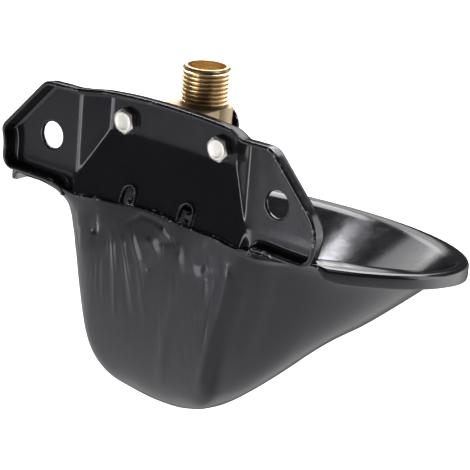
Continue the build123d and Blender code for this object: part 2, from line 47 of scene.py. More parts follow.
MM = 0.001
rng = np.random.default_rng(7)


# ---------------------------------------------------------------------------
# small helpers
# ---------------------------------------------------------------------------
def make_mesh(name, verts, faces, mat, body, smooth=True, weld=2e-3):
    """verts in millimetres. Doubles are merged and empty faces dropped."""
    me = bpy.data.meshes.new(name)
    me.from_pydata([tuple(v) for v in np.asarray(verts, float)], [], [tuple(int(i) for i in f) for f in faces])
    bm = bmesh.new()
    bm.from_mesh(me)
    bmesh.ops.remove_doubles(bm, verts=bm.verts, dist=weld)
    bmesh.ops.dissolve_degenerate(bm, edges=bm.edges, dist=weld * 0.5)
    loose = [v for v in bm.verts if not v.link_faces]
    bmesh.ops.delete(bm, geom=loose, context="VERTS")
    bmesh.ops.recalc_face_normals(bm, faces=bm.faces)
    for f in bm.faces:
        f.smooth = smooth
    bmesh.ops.scale(bm, vec=(MM, MM, MM), verts=bm.verts)
    bm.to_mesh(me)
    bm.free()
    o = bpy.data.objects.new(name, me)
    bpy.context.scene.collection.objects.link(o)
    me.materials.append(mat)
    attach(o, body)
    return o


def grid_faces(rows, cols, base=0, closed_cols=False, flip=False):
    out = []
    n = cols if closed_cols else cols - 1
    for r in range(rows - 1):
        for c in range(n):
            c2 = (c + 1) % cols
            q = (base + r * cols + c, base + r * cols + c2, base + (r + 1) * cols + c2, base + (r + 1) * cols + c)
            out.append(q[::-1] if flip else q)
    return out


def sstep(x, a, b):
    t = np.clip((np.asarray(x, float) - a) / (b - a), 0, 1)
    return t * t * (3 - 2 * t)


def wavy(x, seed, scale, octaves=3):
    """Smooth one-dimensional noise, about -1..1."""
    r = np.random.default_rng(seed)
    x = np.asarray(x, float)
    out = np.zeros_like(x)
    amp = 1.0
    for o in range(octaves):
        ph = r.uniform(0, 6.28, 3)
        fr = r.uniform(0.7, 1.4, 3) / scale * 2**o
        out += amp * (np.sin(x * fr[0] + ph[0]) + np.sin(x * fr[1] * 1.7 + ph[1]) + np.sin(x * fr[2] * 0.6 + ph[2])) / 3
        amp *= 0.5
    return out


# ---------------------------------------------------------------------------
# materials
# ---------------------------------------------------------------------------
def new_mat(name):
    m = bpy.data.materials.new(name)
    m.use_nodes = True
    nt = m.node_tree
    nt.nodes.clear()
    out = nt.nodes.new("ShaderNodeOutputMaterial")
    p = nt.nodes.new("ShaderNodeBsdfPrincipled")
    nt.links.new(p.outputs[0], out.inputs[0])
    return m, nt, p


def node(nt, kind, **kw):
    n = nt.nodes.new(kind)
    for k, v in kw.items():
        if k in n.inputs.keys():
            n.inputs[k].default_value = v
        else:
            setattr(n, k, v)
    return n


def coords(nt, scale=(1, 1, 1)):
    tc = nt.nodes.new("ShaderNodeTexCoord")
    mp = nt.nodes.new("ShaderNodeMapping")
    mp.inputs["Scale"].default_value = scale
    nt.links.new(tc.outputs["Object"], mp.inputs["Vector"])
    return mp.outputs["Vector"]


def ramp(nt, fac, stops):
    r = nt.nodes.new("ShaderNodeValToRGB")
    els = r.color_ramp.elements
    while len(els) > 1:
        els.remove(els[-1])
    els[0].position, els[0].color = stops[0][0], stops[0][1]
    for pos, col in stops[1:]:
        e = els.new(pos)
        e.color = col
    nt.links.new(fac, r.inputs["Fac"])
    return r.outputs["Color"]


def g(v):
    return (v, v, v, 1)


def noise(nt, vec, scale, detail=3.0, rough=0.5):
    n = node(nt, "ShaderNodeTexNoise", Scale=scale, Detail=detail, Roughness=rough)
    nt.links.new(vec, n.inputs["Vector"])
    return n.outputs["Fac"]


def math_node(nt, op, a, b=None, clamp=False):
    n = nt.nodes.new("ShaderNodeMath")
    n.operation = op
    n.use_clamp = clamp
    for i, v in enumerate((a, b)):
        if v is None:
            continue
        if isinstance(v, (int, float)):
            n.inputs[i].default_value = v
        else:
            nt.links.new(v, n.inputs[i])
    return n.outputs[0]


def mix_col(nt, fac, a, b):
    n = nt.nodes.new("ShaderNodeMix")
    n.data_type = "RGBA"
    ins = {"f": n.inputs[0], "a": n.inputs[6], "b": n.inputs[7]}
    for k, v in (("f", fac), ("a", a), ("b", b)):
        if isinstance(v, (int, float, tuple)):
            ins[k].default_value = v
        else:
            nt.links.new(v, ins[k])
    return n.outputs[2]


def bump(nt, p, height, strength, distance, prev=None):
    b = node(nt, "ShaderNodeBump", Strength=strength, Distance=distance)
    nt.links.new(height, b.inputs["Height"])
    if prev is not None:
        nt.links.new(prev, b.inputs["Normal"])
    nt.links.new(b.outputs[0], p.inputs["Normal"])
    return b.outputs[0]


GLOSS = [(0, 0.5232), (0.2, 0.5083), (0.35, 0.4678), (0.5, 0.417), (0.6, 0.3635), (0.7, 0.2128), (0.78, 0.0721), (0.85, 0.0204), (0.9, 0.0076), (0.96, 0.0012), (0.99, 0.0001)]        # dip paint gloss against viewing angle, index minus one


def enamel(name, wear=1.0, base=0.0085):
    """Thick glossy black dip paint: slight orange peel, a little dust, light grey chips where the sheet's edges are,
    which also paint a highlight where the edge mask is raised.
    """
    m, nt, p = new_mat(name)
    vec = coords(nt)
    dust = noise(nt, vec, 1900.0, 2.0, 0.6)
    dustm = ramp(nt, dust, [(0.0, g(0)), (0.735, g(0)), (0.765, g(0.8)), (1.0, g(1))])
    cloud = noise(nt, vec, 60.0, 4.0)
    dustm = math_node(nt, "MULTIPLY", dustm, ramp(nt, cloud, [(0.45, g(0)), (0.62, g(1))]))
    tone = mix_col(nt, noise(nt, vec, 35.0, 3.0), (base * 0.8, base * 0.79, base * 0.9, 1), (base * 1.3, base * 1.28, base * 1.45, 1))
    col = mix_col(nt, math_node(nt, "MULTIPLY", dustm, 0.30), tone, (0.30, 0.30, 0.31, 1))
    at = node(nt, "ShaderNodeAttribute", attribute_name="edge")
    chip = ramp(nt, noise(nt, vec, 520.0, 3.0, 0.65), [(0.0, g(0)), (0.56, g(0)), (0.62, g(1)), (1.0, g(1))])
    chip2 = ramp(nt, noise(nt, vec, 90.0, 2.0, 0.5), [(0.0, g(0)), (0.48, g(0)), (0.6, g(1)), (1.0, g(1))])
    # light grey chips from the edge mask: paint wear, and a painted highlight where the mask is raised along the seam
    wear_and_highlight = math_node(nt, "MULTIPLY", math_node(nt, "MULTIPLY", at.outputs["Fac"], chip), chip2)
    wear_and_highlight = math_node(nt, "MULTIPLY", wear_and_highlight, wear, True)
    col = mix_col(nt, wear_and_highlight, col, (0.34, 0.34, 0.35, 1))
    nt.links.new(col, p.inputs["Base Color"])
    r = ramp(nt, noise(nt, vec, 140.0, 5.0, 0.6), [(0.25, g(0.10)), (0.55, g(0.15)), (0.8, g(0.22))])
    r = math_node(nt, "ADD", r, math_node(nt, "MULTIPLY", wear_and_highlight, 0.25), True)
    nt.links.new(r, p.inputs["Roughness"])
    p.inputs["Specular IOR Level"].default_value = 0.5
    p.inputs["Specular Tint"].default_value = (0.91, 0.895, 1.0, 1)
    lw = node(nt, "ShaderNodeLayerWeight", Blend=0.5)
    sheen = ramp(nt, lw.outputs["Facing"], [(q, g(v)) for q, v in GLOSS])
    nt.links.new(math_node(nt, "ADD", 1.0, sheen), p.inputs["IOR"])
    b1 = bump(nt, p, noise(nt, vec, 420.0, 2.0, 0.5), 0.22, 0.00006)
    b2 = bump(nt, p, noise(nt, vec, 60.0, 2.0, 0.5), 0.35, 0.00022, b1)
    bump(nt, p, dustm, 0.3, 0.00005, b2)
    return m


def brass(name, cast=0.0):
    m, nt, p = new_mat(name)
    vec = coords(nt)
    ring = coords(nt, (1, 1, 40))
    n1 = noise(nt, vec, 160.0, 5.0, 0.6)
    n2 = noise(nt, vec, 30.0, 3.0, 0.5)
    if cast:
        c = mix_col(nt, ramp(nt, n1, [(0.3, g(0)), (0.7, g(1))]), (0.36, 0.27, 0.16, 1), (0.52, 0.40, 0.24, 1))
        c = mix_col(nt, ramp(nt, n2, [(0.45, g(0)), (0.7, g(1))]), c, (0.30, 0.27, 0.24, 1))
        r = ramp(nt, n1, [(0.2, g(0.34)), (0.8, g(0.55))])
    else:
        c = mix_col(nt, ramp(nt, n2, [(0.3, g(0)), (0.7, g(1))]), (0.83, 0.58, 0.25, 1), (0.70, 0.45, 0.17, 1))
        spots = ramp(nt, noise(nt, vec, 700.0, 2.0, 0.5), [(0.70, g(0)), (0.76, g(1))])
        c = mix_col(nt, math_node(nt, "MULTIPLY", spots, 0.5), c, (0.16, 0.10, 0.05, 1))
        r = ramp(nt, noise(nt, ring, 260.0, 4.0, 0.6), [(0.25, g(0.16)), (0.8, g(0.30))])
    nt.links.new(c, p.inputs["Base Color"])
    nt.links.new(r, p.inputs["Roughness"])
    p.inputs["Metallic"].default_value = 1.0
    if cast:
        bump(nt, p, noise(nt, vec, 900.0, 4.0, 0.6), 0.5, 0.00008)
    else:
        bump(nt, p, noise(nt, ring, 500.0, 3.0, 0.6), 0.25, 0.00003)
    return m


def brass_body(name):
    """Machined above the shoulder, as cast below it."""
    m, nt, p = new_mat(name)
    vec = coords(nt)
    ring = coords(nt, (1, 1, 40))
    tc = nt.nodes.new("ShaderNodeTexCoord")
    sep = nt.nodes.new("ShaderNodeSeparateXYZ")
    nt.links.new(tc.outputs["Object"], sep.inputs[0])
    up = math_node(nt, "MULTIPLY", math_node(nt, "SUBTRACT", sep.outputs["Z"], 0.0252), 9000.0, True)
    n1 = noise(nt, vec, 160.0, 5.0, 0.6)
    n2 = noise(nt, vec, 34.0, 3.0, 0.5)
    cast = mix_col(nt, ramp(nt, n1, [(0.3, g(0)), (0.7, g(1))]), (0.30, 0.225, 0.14, 1), (0.42, 0.325, 0.21, 1))
    cast = mix_col(nt, ramp(nt, n2, [(0.42, g(0)), (0.68, g(1))]), cast, (0.27, 0.235, 0.20, 1))
    gold = mix_col(nt, ramp(nt, n2, [(0.3, g(0)), (0.7, g(1))]), (0.95, 0.76, 0.47, 1), (0.88, 0.66, 0.37, 1))
    spots = ramp(nt, noise(nt, vec, 620.0, 2.0, 0.5), [(0.69, g(0)), (0.75, g(1))])
    gold = mix_col(nt, math_node(nt, "MULTIPLY", spots, 0.55), gold, (0.20, 0.12, 0.06, 1))
    # painted shade: the thread's roots are darkened to dark brown
    dx = sep.outputs["X"]
    dy = math_node(nt, "ADD", sep.outputs["Y"], 0.0251)
    rad = math_node(nt, "SQRT", math_node(nt, "ADD", math_node(nt, "MULTIPLY", dx, dx), math_node(nt, "MULTIPLY", dy, dy)))
    thread_root_shade = math_node(nt, "MULTIPLY", math_node(nt, "SUBTRACT", 0.01018, rad), 1900.0, True)
    thread_root_shade = math_node(nt, "MULTIPLY", thread_root_shade, math_node(nt, "GREATER_THAN", rad, 0.0089))
    gold = mix_col(nt, math_node(nt, "MULTIPLY", thread_root_shade, 0.78), gold, (0.30, 0.17, 0.06, 1))
    nt.links.new(mix_col(nt, up, cast, gold), p.inputs["Base Color"])
    ra = ramp(nt, n1, [(0.2, g(0.36)), (0.8, g(0.58))])
    rb = ramp(nt, noise(nt, ring, 260.0, 4.0, 0.6), [(0.25, g(0.22)), (0.8, g(0.36))])
    nt.links.new(mix_col(nt, up, ra, rb), p.inputs["Roughness"])
    p.inputs["Metallic"].default_value = 1.0
    b1 = bump(nt, p, noise(nt, ring, 500.0, 3.0, 0.6), 0.2, 0.00003)
    rough = math_node(nt, "MULTIPLY", noise(nt, vec, 900.0, 4.0, 0.6), math_node(nt, "SUBTRACT", 1.0, up))
    bump(nt, p, rough, 0.5, 0.0001, b1)
    return m


def stainless(name, tint=(0.72, 0.69, 0.65)):
    m, nt, p = new_mat(name)
    vec = coords(nt)
    fine = coords(nt, (1, 1, 22))
    n1 = noise(nt, vec, 260.0, 5.0, 0.65)
    c = mix_col(nt, ramp(nt, n1, [(0.3, g(0)), (0.75, g(1))]), tuple(t * 0.82 for t in tint) + (1,), tint + (1,))
    spots = ramp(nt, noise(nt, vec, 1500.0, 3.0, 0.6), [(0.66, g(0)), (0.72, g(1))])
    c = mix_col(nt, math_node(nt, "MULTIPLY", spots, 0.45), c, (0.25, 0.22, 0.19, 1))
    nt.links.new(c, p.inputs["Base Color"])
    r = ramp(nt, noise(nt, fine, 240.0, 4.0, 0.6), [(0.2, g(0.26)), (0.8, g(0.42))])
    nt.links.new(r, p.inputs["Roughness"])
    p.inputs["Metallic"].default_value = 1.0
    bump(nt, p, noise(nt, vec, 1300.0, 3.0, 0.6), 0.3, 0.00004)
    return m


def plastic(name, col, rough, metal=0.0):
    m, nt, p = new_mat(name)
    vec = coords(nt)
    c = mix_col(nt, noise(nt, vec, 220.0, 4.0), tuple(x * 0.85 for x in col) + (1,), tuple(min(1, x * 1.12) for x in col) + (1,))
    nt.links.new(c, p.inputs["Base Color"])
    r = ramp(nt, noise(nt, vec, 300.0, 4.0), [(0.2, g(rough * 0.85)), (0.8, g(min(1, rough * 1.2)))])
    nt.links.new(r, p.inputs["Roughness"])
    bump(nt, p, noise(nt, vec, 1400.0, 3.0, 0.6), 0.3, 0.00003)
    return m


M_ENAMEL = enamel("enamel_black")
M_TONGUE = enamel("enamel_tongue", 0.6)
M_BRASS = brass("brass_machined")
M_BODY = brass_body("brass_body")
M_STEEL = stainless("stainless")
M_RUBBER = plastic("rubber_black", (0.022, 0.022, 0.023), 0.6)
M_FIBRE = plastic("fibre_red", (0.30, 0.07, 0.045), 0.7)
M_WHITE = plastic("nylon_white", (0.74, 0.74, 0.70), 0.42)
M_KNOB = plastic("plastic_black", (0.013, 0.013, 0.014), 0.38)

# ---------------------------------------------------------------------------
# bowl surface (the same meridians as the model)
# ---------------------------------------------------------------------------
KNOT = np.radians([0, 25, 45, 65, 82, 100, 120, 140, 160, 180])
RINGS = [
    ([0, 32, 58, 80, 92.5, 98.3, 95.5, 82, 48, 0], [4.0, 4.2, 4.4, 0.5, -22, -46, -72, -106, -138, -151], -20.0, 0.19),
    ([0, 24, 38, 46, 66.0, 83.2, 88.5, 76.5, 43.0, 0], [4.4, 4.2, 2.5, -8.5, -33, -57, -82, -108.5, -134.5, -145.5], -23.5, 0.19),
    ([0, 27.3, 42.6, 50.2, 60.7, 73.3, 78.4, 65.9, 35.9, 0], [5.3, 4.8, 2.7, -7.0, -27.1, -48.2, -70.6, -94.2, -116.0, -125.8], -43.8, 0.152),
    ([0, 27.5, 42.8, 47.6, 50.1, 49.5, 44.3, 37.6, 19.5, 0], [6.9, 7.2, 5.8, -4.4, -22.1, -42.5, -60.9, -77.5, -91.4, -97.3], -86.5, -0.106),
    ([0, 21.3, 35.0, 40.0, 40.2, 33.2, 25.3, 18.4, 9.7, 0], [-2.2, -2.3, -3.4, -10.2, -20.2, -30.6, -40.6, -50.5, -57.2, -59.5], -107.0, 0.0),
]
LOWEST = np.array([0.0, -15.8, -107.0])
THICK = 2.0


def periodic_cubic(kx, ky, t):
    n = len(kx) - 1
    h = np.diff(kx)
    A = np.zeros((n, n))
    r = np.zeros(n)
    for i in range(n):
        hm, hi = h[i - 1], h[i]
        A[i, (i - 1) % n] += hm
        A[i, i] += 2 * (hm + hi)
        A[i, (i + 1) % n] += hi
        r[i] = 6 * ((ky[(i + 1) % n] - ky[i]) / hi - (ky[i] - ky[i - 1 if i else n - 1]) / hm)
    M = np.linalg.solve(A, r)
    M = np.append(M, M[0])
    y = np.append(ky[:n], ky[0])
    t = (np.asarray(t) - kx[0]) % (kx[-1] - kx[0]) + kx[0]
    j = np.clip(np.searchsorted(kx, t, side="right") - 1, 0, n - 1)
    hh = h[j]
    a = (kx[j + 1] - t) / hh
    b = (t - kx[j]) / hh
    return a * y[j] + b * y[j + 1] + ((a**3 - a) * M[j] + (b**3 - b) * M[j + 1]) * hh**2 / 6


def ring_points(ring, th):
    xs, ys, zc, k = ring
    kx = np.concatenate([-KNOT[::-1][:-1], KNOT])
    X = np.concatenate([-np.array(xs, float)[::-1][:-1], xs])
    Y = np.concatenate([np.array(ys, float)[::-1][:-1], ys])
    X[0] = 0.0
    X[-1] = 0.0
    x = periodic_cubic(kx, X, th)
    y = periodic_cubic(kx, Y, th)
    return np.stack([x, y, zc + k * y], 1)


def rings_at(th):
    return np.stack([ring_points(r, th) for r in RINGS] + [np.tile(LOWEST, (len(th), 1))])


def bern(u, n=5):
    u = np.asarray(u, float)
    return np.stack([math.comb(n, j) * (1 - u) ** (n - j) * u**j for j in range(n + 1)], -1)


# columns: fine behind, coarser round the front
fine = 0.0036
coarse = 0.012
th_a = np.arange(-math.radians(72), math.radians(72), fine)
th_b = np.linspace(math.radians(72), 2 * math.pi - math.radians(72), int((2 * math.pi - math.radians(144)) / coarse))[:-1]
TH = np.concatenate([th_a, th_b])
TH = np.where(TH > math.pi, TH - 2 * math.pi, TH)
TH = TH[np.argsort(TH)]
NT = len(TH)
RG = rings_at(TH)                                   # 6, NT, 3
RGd = (rings_at(TH + 1e-4) - rings_at(TH - 1e-4)) / 2e-4


def surf(U):
    """U (rows, NT) -> points and outward normals."""
    W = bern(U)                                     # rows, NT, 6
    P = np.einsum("rtj,jtc->rtc", W, RG)
    D = RG[1:] - RG[:-1]
    Pu = 5 * np.einsum("rtj,jtc->rtc", bern(U, 4), D)
    Pt = np.einsum("rtj,jtc->rtc", W, RGd)
    N = np.cross(Pt, Pu)
    L = np.linalg.norm(N, axis=2, keepdims=True)
    N = N / np.maximum(L, 1e-9)
    bad = L[..., 0] < 1e-4
    N[bad] = (0, 0, -1)
    return P, N


_p, _n = surf(np.full((1, NT), 0.3))
SIGN = 1.0 if np.sum(_n[0] * (_p[0] - np.array([0, -50.0, -40.0]))) > 0 else -1.0

# top of the wall: the rim plane, and behind it the cut edge that laps the plate
LIP = np.array([(-84, -20.2), (-80, -20.8), (-66, -21.1), (-57, -21.0), (-52.6, -22.2), (-44.5, -21.6), (-36, -20.4), (-25.8, -19.9),
                (-16.5, -19.4), (-12.4, -19.1), (-5.1, -18.1), (2.7, -17.8), (9.8, -18.0), (17.4, -18.6), (22.2, -19.2),
                (32.8, -19.8), (42.2, -20.6), (50, -21.0), (56, -19.4), (66, -19.1), (80, -19.6), (84, -19.9)])
R0 = RG[0]
b_bead = sstep(-R0[:, 1], 0.5, 5.0)                 # 0 behind, 1 where the rolled rim is whole
rim_z = R0[:, 2]
lip_z = np.interp(R0[:, 0], LIP[:, 0], LIP[:, 1]) + 0.08 * wavy(R0[:, 0], 3, 2.2) * (np.abs(R0[:, 0]) < 52)
top_z = b_bead * rim_z + (1 - b_bead) * np.minimum(lip_z, rim_z)
raise_z = (1 - b_bead) * np.maximum(lip_z - rim_z, 0)      # where the lip stands above the drawn wall
U_FINE = np.linspace(0.0, 1.0, 1400)
Zf = np.einsum("rj,jt->rt", bern(U_FINE), RG[:, :, 2])


def u_at(z):
    """u on each column where the wall passes height z."""
    out = np.zeros(NT)
    for i in range(NT):
        col = Zf[:, i]
        k = max(int(np.argmax(col < z[i] - 1e-9)), 1)
        a = (col[k - 1] - z[i]) / (col[k - 1] - col[k])
        out[i] = U_FINE[k - 1] + a * (U_FINE[k] - U_FINE[k - 1])
    return out


u_anchor = u_at(top_z)


def u_along(dist):
    """u on each column at a given length down the wall from its top."""
    q = np.linspace(0, 1, 400)[:, None]
    U = u_anchor + (0.6 - u_anchor) * q
    P = np.einsum("rtj,jtc->rtc", bern(U), RG)
    L = np.concatenate([np.zeros((1, NT)), np.cumsum(np.linalg.norm(np.diff(P, axis=0), axis=2), axis=0)])
    return np.array([np.interp(dist[i], L[:, i], U[:, i]) for i in range(NT)])


u_out0 = u_along(0.9 + 3.3 * b_bead)
u_in0 = u_along(1.0 + 5.6 * b_bead)

# creases and flats that deep drawing left in the rear wall: (side, width, amount, points on the wall)
STROKES = [
    (-1, 0.9, 0.9, [(22.4, 4.6, -33.6), (20.9, 4.6, -45.1), (21.1, 4.3, -55.3)]),
    (-1, 1.1, 1.0, [(13.7, 4.7, -37.8), (11.3, 4.4, -54.9), (9.4, 3.7, -65.6)]),
    (-1, 1.3, 0.7, [(-16.4, 4.7, -37.4), (-17.8, 4.6, -46.7), (-18.6, 4.4, -54.4)]),
    (-1, 0.8, 1.3, [(-38.7, 3.9, -37.2), (-36.4, 4.0, -48.5), (-34.5, 3.8, -57.6), (-31.9, 3.0, -69.7)]),
    (-1, 0.9, 0.6, [(11.4, 4.4, -25.1), (5.3, 4.2, -21.9), (-1.2, 4.2, -21.9), (-7.6, 4.3, -22.9), (-11.9, 4.5, -27.0), (-15.0, 4.6, -30.5)]),
    (-1, 1.4, 0.6, [(0.0, 4.7, -37.8), (-1.1, 4.7, -43.9)]),
    (-1, 1.2, 0.45, [(-3.9, 4.5, -29.9), (-12.4, 4.5, -27.7)]),
    (-1, 2.2, 0.55, [(-24.4, 4.6, -35.3), (-31.7, 4.4, -32.1)]),
    (-1, 1.0, 1.3, [(32.2, 4.3, -28.8), (32.2, 4.3, -29.2)]),
    (-1, 2.6, 0.9, [(32.2, 4.3, -28.8), (32.0, 4.3, -36.0)]),
    (-1, 0.6, 1.4, [(-27.2, 4.2, -56.6), (-27.2, 4.2, -56.9)]),
    (-1, 0.7, 0.8, [(29.7, 4.4, -47.2), (29.3, 4.3, -53.2)]),
    (1, 0.6, 1.2, [(24.2, 4.6, -38.5), (24.9, 4.5, -47.2), (24.1, 4.0, -60.7)]),
    (1, 0.9, 1.2, [(20.3, 4.6, -33.0), (17.8, 4.6, -48.0), (16.8, 3.4, -69.2)]),
    (1, 0.6, 0.9, [(28.1, 4.4, -49.7), (28.4, 4.0, -59.8)]),
    (1, 0.9, 1.2, [(14.4, 4.6, -33.3), (11.5, 4.7, -43.9), (8.1, 4.5, -54.0), (6.3, 3.9, -63.3)]),
    (1, 1.2, 1.0, [(10.7, 4.5, -28.2), (5.0, 4.7, -40.0), (2.2, 4.5, -52.2), (0.5, 3.9, -63.3)]),
    (1, 1.5, 0.7, [(2.8, 4.6, -30.8), (-2.2, 4.6, -31.1), (-4.4, 4.7, -36.0)]),
    (1, 1.2, 0.6, [(-4.6, 4.3, -24.4), (-10.8, 4.4, -26.7)]),
    (1, 2.0, 0.7, [(-15.6, 4.6, -30.5), (-16.9, 4.7, -40.4), (-14.4, 4.3, -56.6), (-10.5, 2.9, -73.6), (-6.2, -1.0, -91.5)]),
    (1, 1.2, 0.9, [(-32.8, 4.4, -40.4), (-31.6, 4.2, -51.9), (-31.5, 4.0, -58.5)]),
    (1, 2.0, 1.2, [(-46.3, 3.3, -28.4), (-42.9, 3.2, -40.2), (-40.8, 3.1, -51.6), (-37.0, 3.1, -63.4), (-34.3, 2.5, -72.3), (-28.0, -0.1, -87.9)]),
    (1, 1.5, 0.9, [(-50.1, 0.6, -34.2), (-47.5, -1.4, -48.2), (-45.4, -1.0, -56.6)]),
    (1, 2.0, 0.7, [(-43.5, -0.6, -64.5), (-40.2, -1.0, -76.7), (-37.0, -1.4, -84.1)]),
    (1, 3.2, 0.8, [(-61.0, -4.9, -28.3), (-53.5, -8.7, -44.0), (-49.3, -9.0, -58.6), (-46.2, -9.2, -70.2)]),
]
DRAW = 0.165                                        # mm of height per mm of width


def draw_marks(P):
    """Height of the drawing marks over the wall, in mm, at points P (n, 3)."""
    h = np.zeros(len(P))
    near = P[:, 1] > -30
    Q = P[near]
    acc = np.zeros(len(Q))
    for sign, w, amt, pts in STROKES:
        pts = np.array(pts, float)
        w = w * 1.35
        seg = np.linalg.norm(np.diff(pts, axis=0), axis=1)
        cum = np.concatenate([[0], np.cumsum(seg)])
        best = np.full(len(Q), 1e9)
        along = np.zeros(len(Q))
        for i in range(len(pts) - 1):
            d = pts[i + 1] - pts[i]
            t = np.clip(((Q - pts[i]) @ d) / (d @ d), 0, 1)
            r = np.linalg.norm(Q - (pts[i] + t[:, None] * d), axis=1)
            k = r < best
            best[k] = r[k]
            along[k] = cum[i] + t[k] * seg[i]
        total = cum[-1]
        ends = min(10.0, total * 0.38) + 1e-6
        fade = sstep(along, -ends * 0.6, ends) * sstep(total - along, -ends * 0.8, ends) if total > 2 else 1.0
        acc += sign * amt * DRAW * w * np.exp(-((best / w) ** 2)) * fade
    X, Z = Q[:, 0], Q[:, 2]
    band = sstep(-Z, 24, 34) * sstep(Z, -100, -66) * sstep(Q[:, 1], -14, -2)
    acc += 0.050 * band * wavy(X + 0.16 * (Z + 40) * np.sign(X + 8), 11, 2.4, 2)
    acc += 0.20 * band * wavy(X + 0.20 * (Z + 40) * np.sign(X + 8), 12, 9.0, 1)
    h[near] = acc
    return h


def settle(P):
    """Inward pull of the corners below the wings, and a shallow dent low on each front flank."""
    X, Y, Z = P[..., 0], P[..., 1], P[..., 2]
    pull = np.interp(-Z, [19.6, 21.0, 22.6, 25.7, 28.0, 30.6, 36, 44.2, 53, 64.2, 69.5, 77.3, 86.2, 90.8, 97],
                     [0, 3.2, 5.6, 6.2, 5.8, 4.7, 3.2, 2.4, 2.5, 2.5, 2.3, 1.8, 0.9, 0.3, 0])
    wgt = sstep(Y, -30.0, -7.0) * sstep(np.abs(X), 26.0, 41.0) * (1 - 0.9 * sstep(Y, -30, -7) * sstep(-Z, 16, 24) * 0)
    dent = np.zeros_like(X)
    for cx, cy, cz, d, rad in ((51.9, -57.0, -76.1, 1.6, 11.0), (46.0, -47.0, -83.0, 0.5, 12.0), (17.0, -10.0, -105.0, 0.9, 9.0)):
        r2 = (np.abs(X) - cx) ** 2 + (Y - cy) ** 2 + (Z - cz) ** 2
        dent = dent + d * np.exp(-r2 / rad**2)
    Q = P.copy()
    Q[..., 0] = X - np.sign(X) * pull * wgt
    Q[..., 2] = Z + raise_z * (1 - sstep(-Z, 18.8, 26.5))
    return Q, dent


